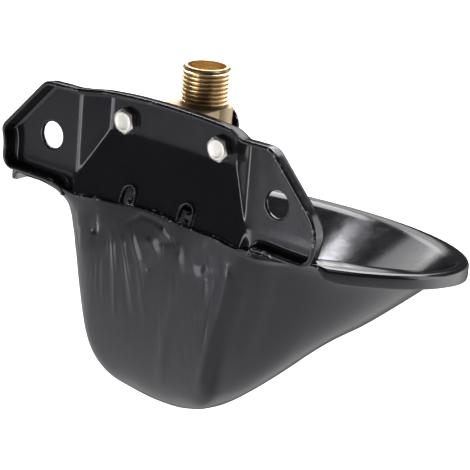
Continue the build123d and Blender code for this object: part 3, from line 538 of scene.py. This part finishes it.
def build_bowl():
    n_out, n_in, n_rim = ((210, 110, 48))
    s = np.linspace(0, 1, n_out)[:, None]
    Uo = u_out0 + (1 - u_out0) * s
    s2 = np.linspace(0, 1, n_in)[:, None]
    Ui = u_in0 + (1 - u_in0) * s2
    Po, No = surf(Uo)
    No *= SIGN
    Pi, Ni = surf(Ui)
    Ni *= SIGN
    ho = draw_marks(Po.reshape(-1, 3)).reshape(n_out, NT)
    hi = draw_marks(Pi.reshape(-1, 3)).reshape(n_in, NT)
    Po, dent = settle(Po + No * ho[..., None])
    Po = Po - No * dent[..., None]
    Pi, dent = settle(Pi + Ni * (hi * 0.8)[..., None] - THICK * Ni)
    Pi = Pi - Ni * dent[..., None]
    # rolled rim and cut lip
    A = np.einsum("tj,jtc->tc", bern(u_anchor), RG)
    A[:, 2] += raise_z
    tang = RGd[0][:, :2]
    e = np.stack([tang[:, 1], -tang[:, 0]], 1)
    e /= np.linalg.norm(e, axis=1, keepdims=True)
    if np.mean(np.sum(e * (R0[:, :2] - np.array([0, -60.0])), 1)) < 0:
        e = -e
    ctrl = [Pi[0]]
    # slope of the wall below the rim, and the turned-over hem outside it
    up = Pi[0] - Pi[1]
    up /= np.linalg.norm(up, axis=1, keepdims=True)
    fwd = np.maximum(np.sum(up[:, :2] * e, 1), 0.02)
    slope = np.degrees(np.arctan2(up[:, 2], fwd))
    steep = sstep(slope, 28, 74)
    front = sstep(-R0[:, 1], 40.0, 110.0)
    deep = 0.80 + 0.20 * front
    deep = deep * (0.70 + 0.30 * sstep(-R0[:, 1], 1.0, 12.0))
    wide = 0.80 + 0.20 * sstep(-R0[:, 1], 2.0, 20.0)
    din = np.sum((Pi[0] - A)[:, :2] * e, 1)
    zin = (Pi[0] - A)[:, 2]
    hem = []
    crest = np.stack([np.full(NT, 0.05), np.full(NT, 0.0)], 1)
    start = np.stack([din, zin], 1)
    gap = np.linalg.norm(crest - start, axis=1)
    t0 = np.stack([fwd, up[:, 2]], 1) * (gap * 1.0)[:, None]
    t1 = np.stack([np.ones(NT), np.full(NT, -0.05)], 1) * (gap * 0.85)[:, None]
    for q in (0.2, 0.4, 0.6, 0.8):
        h00, h10, h01, h11 = 2 * q**3 - 3 * q**2 + 1, q**3 - 2 * q**2 + q, -2 * q**3 + 3 * q**2, q**3 - q**2
        hem.append(h00 * start + h10 * t0 + h01 * crest + h11 * t1)
    hem.append(crest)
    for bd, bz in ((1.35, -0.12), (2.35, -0.50), (2.95, -1.15), (3.18, -2.2), (3.22, -4.6), (3.10, -7.0), (2.55, -7.75), (1.75, -7.7), (1.25, -7.0)):
        zz = np.where(bz < -1.2, -1.2 + (bz + 1.2) * deep, bz)
        hem.append(np.stack([bd * wide, zz * np.ones(NT)], 1))
    hem.append(np.stack([0.55 * wide, (-(2.9 + 2.9 * steep)) * np.minimum(deep * 1.05, 1.0)], 1))
    lip = [(-2.0, -0.85), (-1.97, -0.6), (-1.92, -0.4), (-1.8, -0.2), (-1.6, -0.06), (-1.35, 0.0), (-1.15, 0.0), (-1.0, 0.0), (-0.85, 0.0),
           (-0.7, -0.02), (-0.5, -0.06), (-0.3, -0.12), (-0.12, -0.25), (0.0, -0.42), (0.0, -0.62)]
    for H, (ld, lz) in zip(hem, lip):
        d = b_bead * H[:, 0] + (1 - b_bead) * ld
        z = b_bead * H[:, 1] + (1 - b_bead) * lz
        ctrl.append(np.stack([A[:, 0] + e[:, 0] * d, A[:, 1] + e[:, 1] * d, A[:, 2] + z], 1))
    ctrl.append(Po[0])
    C = np.stack(ctrl)                              # control rows, Catmull-Rom
    C = np.concatenate([2 * C[:1] - C[1:2], C, 2 * C[-1:] - C[-2:-1]])
    m = len(ctrl) - 1
    rim_rows = []
    for t in np.linspace(0, m, n_rim + 1)[1:-1]:
        i = min(int(t), m - 1)
        f = t - i
        p0, p1, p2, p3 = C[i], C[i + 1], C[i + 2], C[i + 3]
        rim_rows.append(0.5 * (2 * p1 + (p2 - p0) * f + (2 * p0 - 5 * p1 + 4 * p2 - p3) * f * f + (3 * p1 - p0 - 3 * p2 + p3) * f**3))
    rows = [Pi[k] for k in range(n_in - 1, -1, -1)] + rim_rows + [Po[k] for k in range(n_out)]
    V = np.concatenate(rows)
    F = grid_faces(len(rows), NT, closed_cols=True)
    o = make_mesh("bowl_drawn", V, F, M_ENAMEL, BODY)
    # worn paint along the cut lip
    co = np.zeros(len(o.data.vertices) * 3)
    o.data.vertices.foreach_get("co", co)
    co = co.reshape(-1, 3) / MM
    lz = np.interp(co[:, 0], LIP[:, 0], LIP[:, 1])
    w = sstep(co[:, 2] - lz, -1.5, -0.2) * sstep(co[:, 1], -1.0, 1.0) * 0.9
    a = o.data.attributes.new("edge", "FLOAT", "POINT")
    a.data.foreach_set("value", w.astype(np.float32))
    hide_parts("bowl_shell")
    return o


build_bowl()

# ---------------------------------------------------------------------------
# back plate: one pressed sheet with a turned edge
# ---------------------------------------------------------------------------
SLOT_X, SLOT_HW, SLOT_TOP = 15.7, 3.2, -11.5
VALVE_Y = -25.1


def panel_y(x, z):
    """Wall-side face of the pressed sheet."""
    ax = np.abs(x)
    q = (ax - 34.0) / 11.9
    k = 0.10
    r01 = 0.5 * (np.sqrt(q * q + k * k) - np.sqrt((q - 1) ** 2 + k * k) + 1)
    A = -7 + 7 * r01
    dz = 8.7 - z
    B = -7 + 0.315 * 0.5 * (dz + np.sqrt(dz * dz + 1.6))
    B = np.where(B > 0, B * (1 - sstep(ax, 45.5, 50.5)), B)
    return 0.5 * (A + B + np.sqrt((A - B) ** 2 + 0.30))


def slot_dist(x, z):
    """Distance outside the edge of the nearer guide slot."""
    dx = np.abs(np.abs(x) - SLOT_X)
    zc = SLOT_TOP - SLOT_HW
    d = np.where(z > zc, np.hypot(dx, z - zc), dx) - SLOT_HW
    return d


def sheet_y(x, z):
    d = slot_dist(x, z)
    lipf = sstep(z, -21.5, -19.5)
    return panel_y(x, z) + 0.18 * np.exp(-(((d - 0.7) / 0.6) ** 2)) * lipf


def sheet_n(x, z):
    e = 0.02
    fx = (sheet_y(x + e, z) - sheet_y(x - e, z)) / (2 * e)
    fz = (sheet_y(x, z + e) - sheet_y(x, z - e)) / (2 * e)
    n = np.stack([-fx, np.ones_like(fx), -fz], -1)
    return n / np.linalg.norm(n, axis=-1, keepdims=True)


def round_path(pts, step=0.6):
    """pts: (x, z, corner radius) open path -> dense points."""
    P = [np.array(p[:2], float) for p in pts]
    out = [P[0]]
    for i in range(1, len(P) - 1):
        a, b, c = P[i - 1], P[i], P[i + 1]
        la, lc = np.linalg.norm(a - b), np.linalg.norm(c - b)
        r = min(pts[i][2], la * 0.49, lc * 0.49)
        p0, p2 = b + (a - b) / la * r, b + (c - b) / lc * r
        for t in np.linspace(0, 1, max(3, int(r * 2 / step) + 2)):
            out.append((1 - t) ** 2 * p0 + 2 * t * (1 - t) * b + t * t * p2)
    out.append(P[-1])
    out = np.array(out)
    seg = np.linalg.norm(np.diff(out, axis=0), axis=1)
    s = np.concatenate([[0], np.cumsum(seg)])
    n = int(s[-1] / step)
    t = np.linspace(0, s[-1], n + 1)
    return np.stack([np.interp(t, s, out[:, 0]), np.interp(t, s, out[:, 1])], 1)


FLANGE = [
    (49.6, -23.2, 0), (50.7, -19.6, 2.0), (53.6, -17.2, 2.0), (58.0, -16.5, 3.0), (72.9, -16.1, 6), (80.0, -16.1, 1.6), (81.9, -13.8, 1.6), (81.6, -8.0, 4),
    (82.2, -3.6, 3), (83.1, -1.2, 1.6), (80.6, 1.6, 3), (62.0, 21.0, 1.8), (60.0, 22.6, 1.6), (50.0, 23.0, 6), (43.0, 22.6, 5), (35.0, 23.0, 6), (20.0, 24.3, 10),
    (0.0, 24.7, 12), (-20.0, 24.0, 10), (-35.0, 22.8, 6), (-44.0, 21.9, 5), (-52.0, 22.2, 5), (-59.2, 22.2, 1.6), (-61.5, 20.6, 1.8), (-80.6, 0.6, 3),
    (-82.8, -2.4, 2.5), (-84.2, -7.4, 4), (-83.7, -13.0, 3), (-82.6, -16.8, 2.2), (-79.6, -18.6, 2.2), (-70.0, -18.4, 6), (-58.0, -17.6, 3), (-53.6, -18.2, 2.0),
    (-51.2, -20.6, 2.0), (-50.2, -23.4, 0),
]
RI = 1.7                                            # inner radius of the turned edge
TAPER = math.radians(6.1)


def flange_rim(x, z, s, total):
    """How far back the turned edge reaches."""
    y = np.interp(np.abs(x), [0, 31, 34, 38, 44, 50, 120], [-0.5, -0.5, -0.1, 1.9, 5.3, 6.5, 6.5])
    end = np.minimum(s, total - s)
    drop = 1 - sstep(end, 1.2, 9.0)
    return y * (1 - drop) + drop * np.minimum(y, 4.3)


def build_plate():
    L = round_path(FLANGE, 0.55)
    seg = np.linalg.norm(np.diff(L, axis=0), axis=1)
    S = np.concatenate([[0], np.cumsum(seg)])
    T = np.gradient(L, axis=0)
    T /= np.linalg.norm(T, axis=1, keepdims=True)
    # gentle unevenness of the pressed edge
    n2 = np.stack([T[:, 1], -T[:, 0]], 1)           # outward for a path that runs counter-clockwise
    L = L + n2 * (0.045 * wavy(S, 21, 9.0, 1))[:, None]
    inset = L - RI * n2
    f0 = sheet_y(inset[:, 0], inset[:, 1])
    rim = flange_rim(L[:, 0], L[:, 1], S, S[-1])
    amax = math.pi / 2 - TAPER
    na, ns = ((8, 6))
    rows = []
    for k in range(na + 1):
        a = amax * k / na
        rows.append((inset + RI * math.sin(a) * n2, f0 + RI * (1 - math.cos(a))))
    y1 = rows[-1][1]
    end_y = np.maximum(rim - 0.9, y1 + 0.05)
    for k in range(1, ns + 1):
        yy = y1 + (end_y - y1) * k / ns
        rows.append((rows[na][0] + ((yy - y1) * math.tan(TAPER))[:, None] * n2, yy))
    G = np.stack([np.stack([r[0][:, 0], r[1], r[0][:, 1]], 1) for r in rows])
    Gs = np.gradient(G, axis=1)
    Gk = np.gradient(G, axis=0)
    N = np.cross(Gs, Gk)
    N /= np.linalg.norm(N, axis=2, keepdims=True)
    N0 = sheet_n(inset[:, 0], inset[:, 1])
    if np.mean(np.sum(N[0] * N0, 1)) < 0:
        N = -N
    N[0] = N0
    # bottom edge with the two guide slots, and the holes
    bottom = [(-50.2, -23.4)]

    def notch(cx):
        zc = SLOT_TOP - SLOT_HW
        r = SLOT_HW + 0.55
        p = [(cx - r, -23.6), (cx - r, zc)]
        p += [(cx - r * math.cos(t), zc + r * math.sin(t)) for t in np.linspace(0, math.pi, 25)[1:-1]]
        p += [(cx + r, zc), (cx + r, -23.6)]
        return p

    corner = [(-50.2, -23.4)] + notch(-SLOT_X) + [(0.0, -21.6)] + notch(SLOT_X) + [(49.6, -23.2)]
    pts = []
    for a, b in zip(corner[:-1], corner[1:]):
        d = math.dist(a, b)
        n = max(1, int(d / 0.5))
        for k in range(n):
            pts.append((a[0] + (b[0] - a[0]) * k / n, a[1] + (b[1] - a[1]) * k / n))
    pts = np.array(pts[1:], float)
    loops = [np.concatenate([inset, pts])]
    n_fl = len(inset)
    circle = np.linspace(0, 2 * math.pi, 72, endpoint=False)
    for cx, cz, r in ((61.4, 0, 5.75 + 0.6), (-61.4, 0, 5.75 + 0.6), (25.5, 13.7, 3.3 + 0.3), (-25.5, 13.7, 3.3 + 0.3)):
        loops.append(np.stack([cx + r * np.cos(-circle), cz + r * np.sin(-circle)], 1))
    # interior points
    h = 0.75
    gx, gz = np.meshgrid(np.arange(-86, 86.01, h), np.arange(-26, 28.01, h))
    gx = gx + (np.arange(gx.shape[0]) % 2)[:, None] * h / 2
    cand = [np.stack([gx.ravel(), gz.ravel()], 1)]
    for sx in (-1, 1):
        for d in np.arange(0.72, 2.6, 0.17):
            r = SLOT_HW + d
            zc = SLOT_TOP - SLOT_HW
            t = np.linspace(0, math.pi, 40)
            cand.append(np.stack([sx * SLOT_X + r * np.cos(t), zc + r * np.sin(t)], 1))
            zz = np.arange(-23.2, zc, 0.45)
            cand.append(np.stack([np.full_like(zz, sx * SLOT_X - r), zz], 1))
            cand.append(np.stack([np.full_like(zz, sx * SLOT_X + r), zz], 1))
    # the rounded creases get their own lines of points
    zz = np.arange(-22, 24, 0.6)
    for xc in (34.0, 45.9):
        for d in (-1.6, -1.1, -0.7, -0.35, 0, 0.35, 0.7, 1.1, 1.6):
            for sx in (-1, 1):
                cand.append(np.stack([np.full_like(zz, sx * (xc + d)), zz], 1))
    xx = np.arange(-34, 34.01, 0.6)
    for d in (-1.6, -1.1, -0.7, -0.35, 0, 0.35, 0.7, 1.1, 1.6):
        cand.append(np.stack([xx, np.full_like(xx, 8.7 + d)], 1))
        t = np.linspace(0, 1, 44)
        for sx in (-1, 1):
            cand.append(np.stack([sx * (34 + 11.9 * t + d * 0.88), 8.7 - 22.2 * t + d * 0.47], 1))
    cand = np.concatenate(cand)

    def inside(q):
        c = np.zeros(len(q), bool)
        for lp in loops:
            x0, z0 = lp[:, 0], lp[:, 1]
            x1, z1 = np.roll(x0, -1), np.roll(z0, -1)
            for i in range(len(lp)):
                cond = (z0[i] > q[:, 1]) != (z1[i] > q[:, 1])
                if z1[i] != z0[i]:
                    xi = (x1[i] - x0[i]) * (q[:, 1] - z0[i]) / (z1[i] - z0[i]) + x0[i]
                    c ^= cond & (q[:, 0] < xi)
        return c

    cand = cand[inside(cand)]
    allb = np.concatenate(loops)
    keep = np.ones(len(cand), bool)
    for i in range(0, len(cand), 2000):
        d = np.min(np.linalg.norm(cand[i:i + 2000, None] - allb[None], axis=2), axis=1)
        keep[i:i + 2000] = d > 0.22
    cand = cand[keep]
    key = np.round(cand / 0.16).astype(int)
    _, first = np.unique(key, axis=0, return_index=True)
    cand = cand[np.sort(first)]
    coords2 = [Vector((float(a), float(b))) for a, b in np.concatenate([allb, cand])]
    edges = []
    base = 0
    for lp in loops:
        n = len(lp)
        edges += [(base + i, base + (i + 1) % n) for i in range(n)]
        base += n
    res = delaunay_2d_cdt(coords2, edges, [], 0, 1e-6)
    pv = np.array([(v.x, v.y) for v in res[0]])
    tris = np.array([f for f in res[2] if len(f) == 3])
    cen = pv[tris].mean(1)
    tris = tris[inside(cen)]
    Y = sheet_y(pv[:, 0], pv[:, 1])
    Nn = sheet_n(pv[:, 0], pv[:, 1])
    back = np.stack([pv[:, 0], Y, pv[:, 1]], 1)
    V, F = [back, back - THICK * Nn], []
    nb = len(back)
    F += [tuple(t) for t in tris] + [tuple(nb + i for i in t[::-1]) for t in tris]
    base = 2 * nb
    # turned edge
    K = len(rows)
    ed = G[-1] - G[-2]
    ed /= np.linalg.norm(ed, axis=1, keepdims=True)
    beta = np.linspace(0, math.pi, 9)[1:-1]
    cap = [G[-1] - 1.0 * N[-1] + math.cos(t) * N[-1] + 0.9 * math.sin(t) * ed for t in beta]
    strip = [G[k] for k in range(K)] + cap + [G[k] - THICK * N[k] for k in range(K - 1, -1, -1)]
    V.append(np.concatenate(strip))
    F += grid_faces(len(strip), n_fl, base)
    base += len(strip) * n_fl

    def edge_cap(loop, closed, bulge, toward):
        nonlocal base
        Yl = sheet_y(loop[:, 0], loop[:, 1])
        Nl = sheet_n(loop[:, 0], loop[:, 1])
        P3 = np.stack([loop[:, 0], Yl, loop[:, 1]], 1)
        if closed:
            t = np.roll(loop, -1, 0) - np.roll(loop, 1, 0)
        else:
            t = np.gradient(loop, axis=0)
        t /= np.linalg.norm(t, axis=1, keepdims=True)
        o2 = np.stack([t[:, 1], np.zeros(len(t)), -t[:, 0]], 1)
        o2 = o2 - np.sum(o2 * Nl, 1)[:, None] * Nl
        rows2 = [P3] + [P3 - Nl + math.cos(b) * Nl + bulge * math.sin(b) * o2 for b in beta] + [P3 - THICK * Nl]
        V.append(np.concatenate(rows2))
        F.extend(grid_faces(len(rows2), len(loop), base, closed_cols=closed))
        base += len(rows2) * len(loop)

    low = np.concatenate([inset[-1:], pts, inset[:1]])
    edge_cap(low, False, 0.55, None)
    for lp, bulge in zip(loops[1:], (0.6, 0.6, 0.3, 0.3)):
        edge_cap(lp, True, bulge, None)
    # the open ends of the turned edge
    for side in (0, n_fl - 1):
        ring = [r[side] for r in strip]
        c = len(ring)
        V.append(np.array(ring + [np.mean(ring, axis=0)]))
        F += [(base + i, base + i + 1, base + c) for i in range(c - 1)]
        base += c + 1
    o = make_mesh("back_plate_pressed", np.concatenate(V), F, M_ENAMEL, BODY, weld=4e-3)
    co = np.zeros(len(o.data.vertices) * 3)
    o.data.vertices.foreach_get("co", co)
    co = co.reshape(-1, 3) / MM
    rim_at = np.interp(np.abs(co[:, 0]), [0, 31, 34, 38, 44, 50, 120], [-0.5, -0.5, -0.1, 1.9, 5.3, 6.5, 6.5])
    w = sstep(co[:, 1] - rim_at, -1.1, -0.25)
    w = w * (0.25 + 0.75 * sstep(-co[:, 0], 30, 60))
    w = w * np.where(np.abs(co[:, 0]) < 49.5, sstep(co[:, 2], 17, 19), 1.0)
    a = o.data.attributes.new("edge", "FLOAT", "POINT")
    a.data.foreach_set("value", w.astype(np.float32))
    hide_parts("back_plate")
    return o


build_plate()


# ---------------------------------------------------------------------------
# paint-filled weld along the lap of bowl and plate
# ---------------------------------------------------------------------------
def tube(path, radius, sides=12):
    path = np.asarray(path, float)
    T = np.gradient(path, axis=0)
    T /= np.linalg.norm(T, axis=1, keepdims=True)
    up = np.array([0, 0, 1.0])
    S = np.cross(T, up)
    S /= np.linalg.norm(S, axis=1, keepdims=True)
    Q = np.cross(S, T)
    V = []
    for i in range(len(path)):
        for k in range(sides):
            a = 2 * math.pi * k / sides
            V.append(path[i] + radius[i] * (math.cos(a) * S[i] + math.sin(a) * Q[i]))
    F = grid_faces(len(path), sides, closed_cols=True)
    n = len(V)
    V += [path[0], path[-1]]
    F += [(n, (k + 1) % sides, k) for k in range(sides)]
    F += [(n + 1, n - sides + k, n - sides + (k + 1) % sides) for k in range(sides)]
    return V, F


def build_seam():
    X = np.arange(-49.0, 48.6, 0.35)
    z = np.interp(X, LIP[:, 0], LIP[:, 1]) - 0.02 + 0.12 * wavy(X, 31, 1.6)
    y = panel_y(X, z) + 0.35 + 0.18 * wavy(X, 32, 2.0)
    r = 0.34 + 0.07 * wavy(X, 33, 1.1)
    for xc, a, w in ((14.0, 0.45, 1.0), (9.0, 0.2, 1.5), (1.0, 0.45, 1.6), (-3.5, 0.25, 1.0), (-15.0, 0.55, 1.2), (-29, 0.2, 2.0), (-38, 0.2, 1.0), (-47.5, 0.5, 1.3), (33, 0.25, 2.0)):
        r = r + 0.40 * a * np.exp(-(((X - xc) / w) ** 2))
    r = np.maximum(r, 0.22) * sstep(np.minimum(X + 49.3, 48.9 - X), -0.1, 1.2)
    r = np.maximum(r, 0.05)
    V, F = tube(np.stack([X, y, z - 0.05], 1), r)
    o = make_mesh("seam_bead", V, F, M_ENAMEL, BODY)
    a = o.data.attributes.new("edge", "FLOAT", "POINT")
    vx = np.array([v.co.x for v in o.data.vertices]) / MM
    # painted highlight: the edge mask is raised round X = -3 (about X -16 to 8) so that light grey chips paint a bright
    # line along the seam; elsewhere the mask is 0.6, giving scattered chips
    a.data.foreach_set("value", (0.6 + 1.9 * np.exp(-(((vx + 3.0) / 8.0) ** 2))).astype(np.float32))
    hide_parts("seam_weld")


build_seam()


def build_slot_rims():
    """Raised rounded rims of the two guide slots."""
    V, F = [], []
    for sx in (-1, 1):
        r = SLOT_HW + 0.42
        zc = SLOT_TOP - SLOT_HW
        pts = [(-r, z) for z in np.linspace(-20.4, zc, 14)[:-1]]
        pts += [(-r * math.cos(t), zc + r * math.sin(t)) for t in np.linspace(0, math.pi, 40)]
        pts += [(r, z) for z in np.linspace(zc, -20.4, 14)[1:]]
        P = np.array([(sx * SLOT_X + a, 0.0, z) for a, z in pts])
        P[:, 1] = panel_y(P[:, 0], P[:, 2]) + 0.22
        rad = 0.72 + 0.04 * wavy(np.arange(len(P)), 40 + sx, 5.0, 1)
        v, f = tube(P, rad, 14)
        F += [tuple(i + len(V) for i in q) for q in f]
        V += list(v)
    o = make_mesh("slot_rims", V, F, M_ENAMEL, BODY)
    a = o.data.attributes.new("edge", "FLOAT", "POINT")
    a.data.foreach_set("value", np.full(len(o.data.vertices), 0.12, np.float32))
    return o


build_slot_rims()


def build_spring():
    """Return spring of the valve."""
    turns, zb, zt, rw, rm = 3.5, 0.62, 5.88, 0.45, 4.2
    t = np.linspace(0, 1, 220)
    a = 2 * math.pi * turns * t
    z = zb + rw + (zt - zb - 2 * rw) * t
    path = np.stack([rm * np.cos(a), VALVE_Y + rm * np.sin(a), z], 1)
    V, F = tube(path, np.full(len(t), rw), 12)
    o = make_mesh("spring_wound", V, F, M_STEEL, BODY)
    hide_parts("return_spring")
    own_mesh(o)
    return o


build_spring()


def build_bolts():
    """Chamfered hexagon heads with a plain recessed face, on plain shanks."""
    V, F = [], []
    nphi = 144
    phi = np.linspace(0, 2 * math.pi, nphi, endpoint=False)
    for cx, turn in ((-25.5, 12.0), (25.5, 20.0)):
        a = (phi - math.radians(turn) + math.pi / 6) % (math.pi / 3) - math.pi / 6
        hexr = 5.0 / np.cos(np.pi / 6 - np.abs(a))
        hexr = -0.16 * np.log(np.exp(-hexr / 0.16) + np.exp(-5.70 / 0.16))
        y0, H = -7.0, 3.85
        rc = 4.15
        rows = []
        for r, y in ((0.0, H - 0.14), (1.5, H - 0.14), (2.9, H - 0.13), (3.2, H - 0.08), (3.45, H - 0.01), (3.8, H), (4.0, H - 0.015)):
            rows.append((np.full(nphi, r), np.full(nphi, y)))
        for t in (0.06, 0.3, 0.6, 0.88):
            r = rc + (hexr - rc) * t
            rows.append((r, H - (r - rc) * 0.62 - 0.04))
        edge = H - (hexr - rc) * 0.62
        rows.append((hexr - 0.03, edge - 0.02))
        rows.append((hexr, edge - 0.14))
        rows.append((hexr, np.full(nphi, 0.9)))
        rows.append((hexr, np.full(nphi, 0.25)))
        rows.append((hexr - 0.15, np.full(nphi, 0.05)))
        rows.append((np.full(nphi, 3.0), np.full(nphi, 0.0)))
        rows.append((np.full(nphi, 3.0), np.full(nphi, -11.6)))
        rows.append((np.full(nphi, 2.6), np.full(nphi, -12.0)))
        rows.append((np.full(nphi, 0.0), np.full(nphi, -12.0)))
        base = len(V)
        for r, y in rows:
            for k in range(nphi):
                V.append((cx + r[k] * math.cos(phi[k]), y0 + y[k], 13.7 + r[k] * math.sin(phi[k])))
        F += grid_faces(len(rows), nphi, base, closed_cols=True)
    o = make_mesh("bolts_hex", V, F, M_STEEL, BODY)
    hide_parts("flange_bolts")
    return o


build_bolts()

# ---------------------------------------------------------------------------
# finishes of the carried-over nodes
# ---------------------------------------------------------------------------
FINISH = {
    "valve_body": M_BODY, "outlet_gland": M_BRASS, "regulator_spindle": M_BRASS,
    "flange_bolts": M_STEEL, "hinge_pin": M_STEEL, "pin_washers": M_STEEL, "pin_clips": M_STEEL,
    "valve_stem": M_STEEL, "return_spring": M_STEEL, "spindle_circlip": M_STEEL, "knob_screw": M_STEEL,
    "flange_gasket": M_RUBBER, "gland_gasket": M_FIBRE, "regulator_oring": M_RUBBER, "valve_washer": M_RUBBER,
    "inlet_strainer": M_WHITE, "valve_seat": M_WHITE, "regulator_knob": M_KNOB, "tongue": M_TONGUE,
}
for name, mat in FINISH.items():
    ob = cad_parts[name]
    ob.data.materials.clear()
    ob.data.materials.append(mat)

# ---------------------------------------------------------------------------
# floor, light, camera
# ---------------------------------------------------------------------------
FLOOR_Z = -0.30
me = bpy.data.meshes.new("floor")
me.from_pydata([(-4, -4, FLOOR_Z), (4, -4, FLOOR_Z), (4, 4, FLOOR_Z), (-4, 4, FLOOR_Z)], [], [(0, 1, 2, 3)])
floor = bpy.data.objects.new("floor", me)
bpy.context.scene.collection.objects.link(floor)
m, nt, p = new_mat("floor_paper")
vec = coords(nt)
c = mix_col(nt, noise(nt, vec, 3.0, 2.0), (0.905, 0.905, 0.905, 1), (0.925, 0.925, 0.925, 1))
nt.links.new(c, p.inputs["Base Color"])
p.inputs["Roughness"].default_value = 0.9
p.inputs["Specular IOR Level"].default_value = 0.1
me.materials.append(m)


def area(name, loc, target, sx, sy, radiance, color=(1, 1, 1)):
    d = bpy.data.lights.new(name, "AREA")
    d.shape = "RECTANGLE"
    d.size, d.size_y = sx, sy
    d.energy = radiance * math.pi * sx * sy
    d.color = color
    o = bpy.data.objects.new(name, d)
    bpy.context.scene.collection.objects.link(o)
    loc, target = Vector(loc), Vector(target)
    o.rotation_euler = (target - loc).to_track_quat("-Z", "Y").to_euler()
    o.location = loc
    return o


area("overhead", (0.42, -1.15, 1.35), (0.38, -0.8, -0.3), 1.5, 1.1, 8.6)
area("ceiling", (1.60, -0.80, 0.72), (0.0, -0.13, -0.05), 1.3, 0.6, 2.3)
area("window", (0.735, -0.235, 0.90), (0.0, -0.13, -0.05), 0.17, 0.26, 24.0)
area("front_high", (0.22, -1.45, 1.00), (0.0, -0.05, 0.0), 1.1, 0.9, 4.4)
area("front_low", (0.95, -1.45, 0.60), (0.0, -0.05, -0.03), 1.3, 0.6, 2.4)
area("front_left", (-0.80, -1.35, 0.15), (0.0, 0.0, 0.0), 0.8, 0.95, 2.4)
area("strip_a", (0.74, 0.26, -0.04), (0.0, 0.0, -0.06), 0.13, 0.50, 5.2)
area("strip_b", (0.12, 0.80, -0.06), (0.0, 0.0, -0.06), 0.18, 0.44, 5.2)
area("strip_c", (0.42, 0.90, -0.20), (0.0, 0.0, -0.06), 0.28, 0.30, 3.4)
area("side_fill", (-1.3, -0.35, 1.25), (0.0, -0.05, -0.05), 0.7, 0.5, 1.6)

w = bpy.data.worlds.new("studio")
bpy.context.scene.world = w
w.use_nodes = True
w.node_tree.nodes["Background"].inputs[0].default_value = (0.95, 0.97, 1.0, 1)
w.node_tree.nodes["Background"].inputs[1].default_value = 0.09

R = ((-0.76845101, -0.63566301, 0.07359064), (-0.24759459, 0.18931315, -0.95018811), (0.59006776, -0.74839366, -0.30286461))
cam_d = bpy.data.cameras.new("camera")
cam_d.sensor_width = 36.0
cam_d.lens = 2866.9058574 / 470 * 36.0
cam_d.clip_start, cam_d.clip_end = 0.05, 60
cam = bpy.data.objects.new("camera", cam_d)
bpy.context.scene.collection.objects.link(cam)
rows = [Vector(R[0]), -Vector(R[1]), -Vector(R[2])]
tv = Vector((-30.45033803, -27.33206931, 1181.38576014))
pos = -(Vector(R[0]) * tv[0] + Vector(R[1]) * tv[1] + Vector(R[2]) * tv[2]) * MM
mw = Matrix(((rows[0][0], rows[1][0], rows[2][0], pos[0]),
             (rows[0][1], rows[1][1], rows[2][1], pos[1]),
             (rows[0][2], rows[1][2], rows[2][2], pos[2]),
             (0, 0, 0, 1)))
cam.matrix_world = mw
bpy.context.scene.camera = cam
bpy.context.scene.view_settings.view_transform = "Standard"
bpy.context.scene.view_settings.look = "None"
